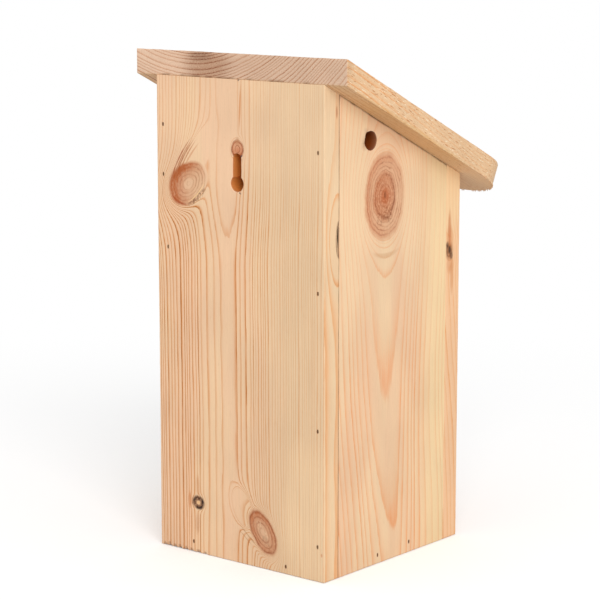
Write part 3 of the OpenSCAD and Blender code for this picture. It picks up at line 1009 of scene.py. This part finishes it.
ROOF_MARKS = (
    # Weathering near the pith, then the brown stain on the cut end, darkest in its late wood.
    Mark((-45, -8.5, 4), (80, 40, 7), "#8C6A54", 0.3),
    Mark((30, -8.5, 0), (22, 14, 40), "#A0622E", 0.5),
    Mark((30, -8.5, 0), (28, 17, 40), "#70340F", 1, grain=0.8),
    Mark((36, -13.5, 0), (13, 3.4, 40), "#5E3218", 0.7, grain=0.5),
    # The underside: yellower at the near eave, paler towards the front.
    Mark((-95, 0, -85), (40, 3, 75), "#D3A464", 0.55),
    Mark((-60, 0, -205), (60, 3, 45), "#F2DCB8", 0.2),
)
# The turn and the shift lay the sloping roof flat, with its underside at 0.
ROOF = Plank(turn=(math.radians(65), 0, 0), shift=(0, 291.62, -226.46),
             pith=(-230, 10, 36, 44), lift=(-230, 10, -160, -166),
             crowd=((30, -100, 7),), ring=2.3, marks=ROOF_MARKS, look=SAWN, seed=53)


# ---------------------------------------------------------------- making it

def back_wear():
    """Fibres torn from the foot, a bark hollow in the near edge, and dirt in the joint to the side."""
    foot = [Cut((u, 0.0), (u, 0.0), 1.5, size, "outer", 0.5) for u, size in
            ((76, 1.8), (71.5, 2.8), (66, 2.1), (61, 2.9), (54.5, 2.2), (49, 1.6), (42, 1.7), (35, 1.2))]
    bark = [Cut((-HALF_WIDTH, 243.5), (-HALF_WIDTH, 246.0), 5.0, 1.4, "inner", 0.6),
            Cut((-HALF_WIDTH, 253.0), (-HALF_WIDTH, 256.0), 5.0, 2.2, "inner", 0.7)]
    joint = [Cut((-HALF_WIDTH, 0.0), (-HALF_WIDTH, BACK_HEIGHT), 2.0, 0.0, "inner", 0.75)]
    return foot + bark + joint


def side_wear_and_shade():
    """Chips at the air hole, and painted shade along the gap under the roof."""
    u, v = AIR_HOLE[:2]
    chips = [Cut((u + 4.5, v + 5.5), (u + 4.5, v + 5.5), 2.6, 1.5, "outer", 0.2),
             Cut((u + 6.8, v - 1.0), (u + 6.8, v - 1.0), 4.0, 0.7, "outer", 0.5)]
    # Painted shade: a dark line along the side's top, in the gap under the roof where its shadow falls.
    gap_shade = [Cut((-HALF_DEPTH, side_top(-HALF_DEPTH)), (HALF_DEPTH, side_top(HALF_DEPTH)), 1.8, 0.0,
                "outer", 0.65)]
    return chips + gap_shade


def roof_wear():
    """The frayed lower arrises of the roof's two cut ends, each as (start, run) in mm."""
    back = [Cut((u, 0.0), (u + run, 0.0), 1.6, 0.2, "inner", 0.4) for u, run in
            ((-64, 2), (-41, 11), (-12, 3), (5, 14), (27, 4), (38, 17), (68, 5))]
    front = [Cut((u, -ROOF_LENGTH), (u + run, -ROOF_LENGTH), 1.8, 0.7, "inner", 0.6) for u, run in
             ((-56, 3), (-47, 1.5), (-41, 4), (-30, 2), (-21, 5), (-9, 2), (2, 4), (15, 2), (26, 5),
              (39, 2), (50, 4))]
    return back + front


def make_boards():
    """Every board in its own wood, in place of its plain solid."""
    slab("back", square_board(HALF_WIDTH, 0.0, BACK_HEIGHT), [keyhole_edge()], heads_of("back", 0, 2),
         on_back, softwood("back_spruce", BACK), cuts=back_wear(), seed=5)
    slab("front", square_board(HALF_WIDTH, 0.0, FRONT_HEIGHT), [round_hole(*ENTRANCE, 96)],
         heads_of("front", 0, 2), on_front, softwood("front_spruce", FRONT), seed=6)
    air = round_hole(*AIR_HOLE)
    slab("left_side", side_outline(), [air], heads_of("left", 1, 2), on_left,
         softwood("side_spruce", LEFT), cuts=side_wear_and_shade(), seed=7)
    slab("right_side", side_outline(), [air], heads_of("right", 1, 2), on_right,
         softwood("far_side_spruce", RIGHT), seed=8)
    base = square_board(HALF_WIDTH - BOARD, -HALF_DEPTH, HALF_DEPTH, 3.0)
    slab("floor", base, [], [], on_floor, softwood("floor_spruce", FLOOR), step=(9.0, 6.0), seed=9)
    lid = rounded([(-ROOF_HALF, -ROOF_LENGTH, ROOF_CORNER), (ROOF_HALF, -ROOF_LENGTH, ROOF_CORNER),
                   (ROOF_HALF, 0.0, CORNER), (-ROOF_HALF, 0.0, CORNER)])
    sawn = softwood("roof_sawn_spruce", ROOF)
    slab("roof", lid, [], roof_heads(), on_roof, sawn, step=(4.0, 4.0), soft=0.6, cuts=roof_wear(),
         seed=10)
    fray_roof(lid, sawn)
    for piece in ("back", "front", "left_side", "right_side", "floor", "roof"):
        board = bpy.data.objects[piece]
        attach(board, "root")
        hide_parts(piece + "_board")


def brad_steel():
    """Drawn steel wire brads: dull grey-brown heads, some paler than others, freckled with rust."""
    finish, tree = new_tree("brad_steel")
    place = add(tree, "TexCoord", out=3)
    # One brad differs from the next, so this pattern is about 60 mm across.
    batch = blobs(tree, place, (0.06,) * 3, 1.0, 0.5)
    batch = add(tree, "MapRange", batch, 0.38, 0.62, 0.0, 1.0)
    # Rust freckles are 0.7 mm across, coarser than real ones (0.2 mm), so that they show.
    freckle = blobs(tree, place, (0.0007,) * 3, 3.0, 0.6)
    rust = add(tree, "MapRange", freckle, 0.48, 0.6, 0.0, 0.85)
    steel = lay(tree, batch, "#5A4C42", "#A98F68")
    steel = lay(tree, rust, steel, "#7A4220")
    bare = add(tree, "MapRange", rust, 0.0, 0.85, 1.0, 0.35)
    rough = add(tree, "MapRange", freckle, 0.35, 0.65, 0.38, 0.72)
    pitted = add(tree, "Bump", 0.5, 0.00006, into={"Height": freckle})
    body = add(tree, "BsdfPrincipled", steel, into={"Metallic": bare, "Roughness": rough,
                                                   "Normal": pitted})
    add(tree, "OutputMaterial", body)
    return finish


def finish_brads():
    """Gives every brad its steel."""
    steel = brad_steel()
    for name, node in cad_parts.items():
        if name.startswith("brad_"):
            for slot in node.material_slots:
                slot.material = steel


# ---------------------------------------------------------------- the room

def seen_plainly(tree):
    """1 for rays that come from the eye, off a shiny surface or through a clear one."""
    seen = add(tree, "LightPath")
    for kind in (3, 6):
        ray = add(tree, "LightPath", out=kind)
        seen = add(tree, "MAXIMUM", seen, ray)
    return seen


def make_floor():
    """A white table top that keeps a soft shadow and fades to plain white away from the box."""
    mesh = bpy.data.meshes.new("table_top")
    ring = arc(0.0, 0.0, TABLE_RADIUS, 0.0, math.tau, TABLE_CORNERS)[:-1]
    mesh.from_pydata([(x, y, TABLE_DROP) for x, y in ring], [], [tuple(range(TABLE_CORNERS))])
    finish, tree = new_tree("white_table")
    # The table turns plain white between 0.25 and 0.9 m from the box.
    where = add(tree, "TexCoord", out=3)
    far = add(tree, "VectorMath", where, operation="LENGTH", out=1)
    fade = add(tree, "MapRange", far, 0.25, 0.9, 0.0, 1.0, **SMOOTH)
    paint = add(tree, "BsdfDiffuse", tint("#FAFAFA"))
    lift = add(tree, "Emission", WHITE, 0.14)
    paint = add(tree, "AddShader", paint, lift)
    glow = add(tree, "Emission", WHITE, 1.0)
    shown = add(tree, "MixShader", fade, paint, glow)
    # What it throws back on the box is a little dimmer than what the eye sees.
    dim = add(tree, "BsdfDiffuse", tint("#D8D6D1"))
    both = add(tree, "MixShader", seen_plainly(tree), dim, shown)
    add(tree, "OutputMaterial", both)
    mesh.materials.append(finish)
    top = bpy.data.objects.new("table_top", mesh)
    bpy.context.scene.collection.objects.link(top)


def light_room():
    """A white room: even light all round, and one broad lamp high in front of the two near faces."""
    world = bpy.data.worlds.new("white_room")
    bpy.context.scene.world = world
    world.use_nodes = True
    tree = world.node_tree
    tree.nodes.clear()
    soft = add(tree, "Background", WHITE, 0.72)
    white = add(tree, "Background", WHITE, 1.0)
    both = add(tree, "MixShader", seen_plainly(tree), soft, white)
    add(tree, "OutputWorld", both)
    # The lamp is a disc 1.8 m wide, 3 m from the box.
    data = bpy.data.lights.new("window", "AREA")
    data.shape, data.size, data.energy, data.color = "DISK", 1.8, 46.0, (1.0, 0.99, 0.98)
    lamp = bpy.data.objects.new("window", data)
    lamp.location = (-1.9, 1.7, 1.5)
    lamp.rotation_euler = (Vector((0.0, 0.0, 0.2)) - lamp.location).to_track_quat("-Z", "Y").to_euler()
    bpy.context.scene.collection.objects.link(lamp)


def set_camera():
    """Eye level above the roof, looking at the back and the left side."""
    # A 130 mm lens about 1.7 m away.
    data = bpy.data.cameras.new("eye")
    data.sensor_width, data.lens, data.clip_end = 36.0, 130.36, 50.0
    eye = bpy.data.objects.new("eye", data)
    eye.location = (-1.0268, 1.2606, 0.4764)
    ahead = Vector((0.62537, -0.76053, -0.17468))
    eye.rotation_euler = ahead.to_track_quat("-Z", "Y").to_euler()
    bpy.context.scene.collection.objects.link(eye)
    bpy.context.scene.camera = eye


set_camera()
light_room()
make_floor()
make_boards()
finish_brads()
bpy.context.scene.view_settings.view_transform = "Standard"
